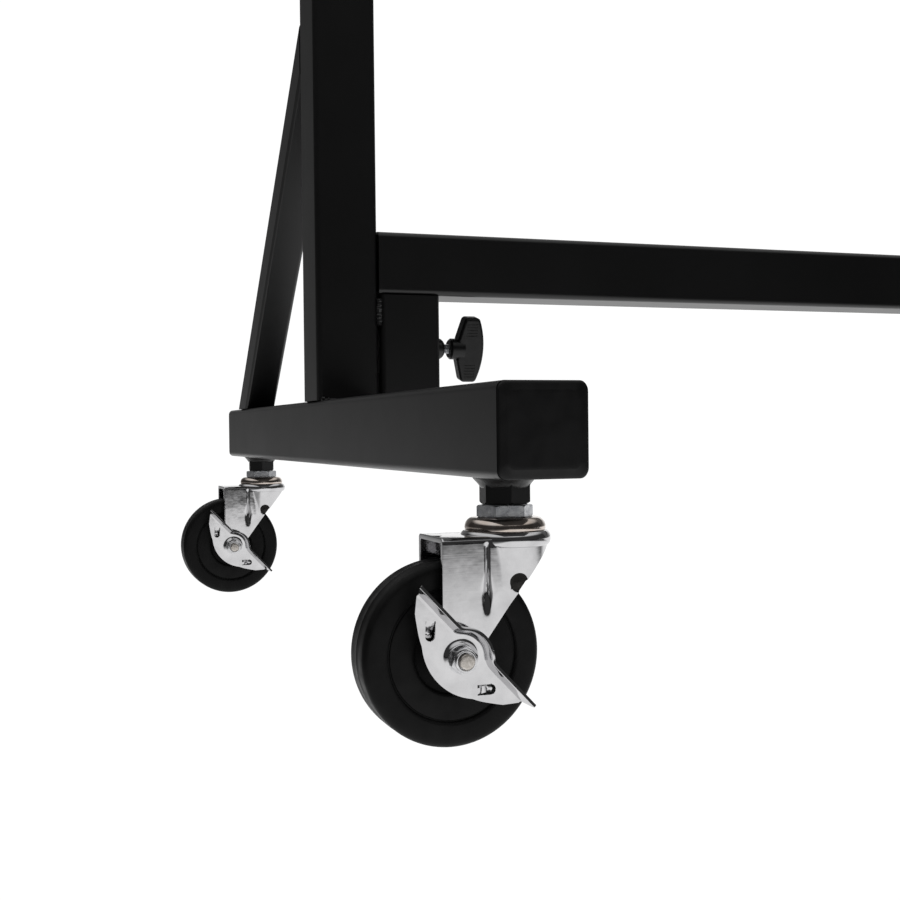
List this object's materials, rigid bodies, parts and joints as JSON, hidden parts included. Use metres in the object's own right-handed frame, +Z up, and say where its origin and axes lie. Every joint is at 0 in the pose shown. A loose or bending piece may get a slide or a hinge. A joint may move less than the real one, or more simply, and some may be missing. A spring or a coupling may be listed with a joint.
{
  "type": "rolling background support stand",
  "caption": "Rolling steel stand for photo backgrounds: welded side frames on braked swivel casters, joined by lift-out crossbars held with T-knobs.",
  "frame": {"origin": "on the floor, midway between the side frames and midway along the feet", "axes": "+X along the crossbars, -Y towards the front, where the brake levers of the left casters are, +Z up"},
  "size_m": [2.9704, 0.8, 2.4],
  "materials": {
    "black_powder_coat": "satin black powder coat on steel tube",
    "black_cap_plastic": "moulded black polyethylene, fine grain",
    "knob_plastic": "moulded black nylon with finger ridges",
    "hard_rubber": "hard black rubber, smooth moulded",
    "chrome_plate": "bright chrome plate",
    "raceway_chrome": "polished steel dome, warm tone",
    "zinc_plate": "bright zinc plate",
    "ball_steel": "polished ball steel",
    "brass_pad": "plain turned brass"
  },
  "bodies": {
    "side_frames": {"left_foot_tube": "black_powder_coat", "left_upright": "black_powder_coat", "left_brace": "black_powder_coat", "left_lower_socket": "black_powder_coat", "left_upper_socket": "black_powder_coat", "right_foot_tube": "black_powder_coat", "right_upright": "black_powder_coat", "right_brace": "black_powder_coat", "right_lower_socket": "black_powder_coat", "right_upper_socket": "black_powder_coat", "socket_spacers": "black_powder_coat", "foot_end_caps": "black_cap_plastic", "upright_top_caps": "black_cap_plastic", "caster_weld_nuts": "black_powder_coat", "clamp_weld_nuts": "black_powder_coat", "caster_stems": "zinc_plate", "raceway_caps": "raceway_chrome"},
    "lower_crossbar": {"lower_crossbar_tube": "black_powder_coat", "lower_crossbar_pegs": "black_powder_coat"},
    "upper_crossbar": {"upper_crossbar_tube": "black_powder_coat", "upper_crossbar_pegs": "black_powder_coat"},
    "lower_left_pad": {"lower_left_clamp_pad": "brass_pad"},
    "lower_left_knob": {"lower_left_clamp_stud": "zinc_plate", "lower_left_knob_wing": "knob_plastic"},
    "lower_right_pad": {"lower_right_clamp_pad": "brass_pad"},
    "lower_right_knob": {"lower_right_clamp_stud": "zinc_plate", "lower_right_knob_wing": "knob_plastic"},
    "upper_left_pad": {"upper_left_clamp_pad": "brass_pad"},
    "upper_left_knob": {"upper_left_clamp_stud": "zinc_plate", "upper_left_knob_wing": "knob_plastic"},
    "upper_right_pad": {"upper_right_clamp_pad": "brass_pad"},
    "upper_right_knob": {"upper_right_clamp_stud": "zinc_plate", "upper_right_knob_wing": "knob_plastic"},
    "front_left_caster": {"front_left_fork": "chrome_plate", "front_left_axle_set": "zinc_plate", "front_left_axle_sleeve": "zinc_plate", "front_left_swivel_balls": "ball_steel"},
    "front_left_rolling_wheel": {"front_left_wheel": "hard_rubber"},
    "front_left_brake": {"front_left_brake_lever": "chrome_plate"},
    "front_right_caster": {"front_right_fork": "chrome_plate", "front_right_axle_set": "zinc_plate", "front_right_axle_sleeve": "zinc_plate", "front_right_swivel_balls": "ball_steel"},
    "front_right_rolling_wheel": {"front_right_wheel": "hard_rubber"},
    "front_right_brake": {"front_right_brake_lever": "chrome_plate"},
    "rear_left_caster": {"rear_left_fork": "chrome_plate", "rear_left_axle_set": "zinc_plate", "rear_left_axle_sleeve": "zinc_plate", "rear_left_swivel_balls": "ball_steel"},
    "rear_left_rolling_wheel": {"rear_left_wheel": "hard_rubber"},
    "rear_left_brake": {"rear_left_brake_lever": "chrome_plate"},
    "rear_right_caster": {"rear_right_fork": "chrome_plate", "rear_right_axle_set": "zinc_plate", "rear_right_axle_sleeve": "zinc_plate", "rear_right_swivel_balls": "ball_steel"},
    "rear_right_rolling_wheel": {"rear_right_wheel": "hard_rubber"},
    "rear_right_brake": {"rear_right_brake_lever": "chrome_plate"}
  },
  "joints": [
    {"name": "lower_crossbar_lift", "type": "slide", "parent": "side_frames", "child": "lower_crossbar", "axis": [0, 0, 1], "range_m": [0, 0.11]},
    {"name": "upper_crossbar_lift", "type": "slide", "parent": "side_frames", "child": "upper_crossbar", "axis": [0, 0, 1], "range_m": [0, 0.11]},
    {"name": "lower_left_screw_travel", "type": "slide", "parent": "side_frames", "child": "lower_left_pad", "axis": [1, 0, 0], "range_m": [0, 0.00376]},
    {"name": "lower_left_knob_turn", "type": "hinge", "parent": "lower_left_pad", "child": "lower_left_knob", "pos_m": [-1.324, 0.005, 0.2345], "axis": [1, 0, 0], "range_deg": [0, 1080]},
    {"name": "lower_right_screw_travel", "type": "slide", "parent": "side_frames", "child": "lower_right_pad", "axis": [-1, 0, 0], "range_m": [0, 0.00376]},
    {"name": "lower_right_knob_turn", "type": "hinge", "parent": "lower_right_pad", "child": "lower_right_knob", "pos_m": [1.324, 0.005, 0.2345], "axis": [-1, 0, 0], "range_deg": [0, 1080]},
    {"name": "upper_left_screw_travel", "type": "slide", "parent": "side_frames", "child": "upper_left_pad", "axis": [1, 0, 0], "range_m": [0, 0.00376]},
    {"name": "upper_left_knob_turn", "type": "hinge", "parent": "upper_left_pad", "child": "upper_left_knob", "pos_m": [-1.324, 0.005, 2.306], "axis": [1, 0, 0], "range_deg": [0, 1080]},
    {"name": "upper_right_screw_travel", "type": "slide", "parent": "side_frames", "child": "upper_right_pad", "axis": [-1, 0, 0], "range_m": [0, 0.00376]},
    {"name": "upper_right_knob_turn", "type": "hinge", "parent": "upper_right_pad", "child": "upper_right_knob", "pos_m": [1.324, 0.005, 2.306], "axis": [-1, 0, 0], "range_deg": [0, 1080]},
    {"name": "front_left_caster_swivel", "type": "hinge", "parent": "side_frames", "child": "front_left_caster", "pos_m": [-1.401, -0.345, 0.1415], "axis": [0, 0, 1], "continuous": true},
    {"name": "front_left_wheel_spin", "type": "hinge", "parent": "front_left_caster", "child": "front_left_rolling_wheel", "pos_m": [-1.4362, -0.345, 0.049], "axis": [0, 1, 0], "continuous": true},
    {"name": "front_left_brake_press", "type": "hinge", "parent": "front_left_caster", "child": "front_left_brake", "pos_m": [-1.4362, -0.345, 0.049], "axis": [0, -1, 0], "range_deg": [0, 25]},
    {"name": "front_right_caster_swivel", "type": "hinge", "parent": "side_frames", "child": "front_right_caster", "pos_m": [1.401, -0.345, 0.1415], "axis": [0, 0, 1], "continuous": true},
    {"name": "front_right_wheel_spin", "type": "hinge", "parent": "front_right_caster", "child": "front_right_rolling_wheel", "pos_m": [1.4362, -0.345, 0.049], "axis": [0, 1, 0], "continuous": true},
    {"name": "front_right_brake_press", "type": "hinge", "parent": "front_right_caster", "child": "front_right_brake", "pos_m": [1.4362, -0.345, 0.049], "axis": [0, 1, 0], "range_deg": [0, 25]},
    {"name": "rear_left_caster_swivel", "type": "hinge", "parent": "side_frames", "child": "rear_left_caster", "pos_m": [-1.401, 0.345, 0.1415], "axis": [0, 0, 1], "continuous": true},
    {"name": "rear_left_wheel_spin", "type": "hinge", "parent": "rear_left_caster", "child": "rear_left_rolling_wheel", "pos_m": [-1.4362, 0.345, 0.049], "axis": [0, 1, 0], "continuous": true},
    {"name": "rear_left_brake_press", "type": "hinge", "parent": "rear_left_caster", "child": "rear_left_brake", "pos_m": [-1.4362, 0.345, 0.049], "axis": [0, -1, 0], "range_deg": [0, 25]},
    {"name": "rear_right_caster_swivel", "type": "hinge", "parent": "side_frames", "child": "rear_right_caster", "pos_m": [1.401, 0.345, 0.1415], "axis": [0, 0, 1], "continuous": true},
    {"name": "rear_right_wheel_spin", "type": "hinge", "parent": "rear_right_caster", "child": "rear_right_rolling_wheel", "pos_m": [1.4362, 0.345, 0.049], "axis": [0, 1, 0], "continuous": true},
    {"name": "rear_right_brake_press", "type": "hinge", "parent": "rear_right_caster", "child": "rear_right_brake", "pos_m": [1.4362, 0.345, 0.049], "axis": [0, 1, 0], "range_deg": [0, 25]}
  ],
  "couplings": [
    {"joint": "lower_left_screw_travel", "follows": "lower_left_knob_turn", "m_per_rad": 0.00019894},
    {"joint": "lower_right_screw_travel", "follows": "lower_right_knob_turn", "m_per_rad": 0.00019894},
    {"joint": "upper_left_screw_travel", "follows": "upper_left_knob_turn", "m_per_rad": 0.00019894},
    {"joint": "upper_right_screw_travel", "follows": "upper_right_knob_turn", "m_per_rad": 0.00019894}
  ]
}
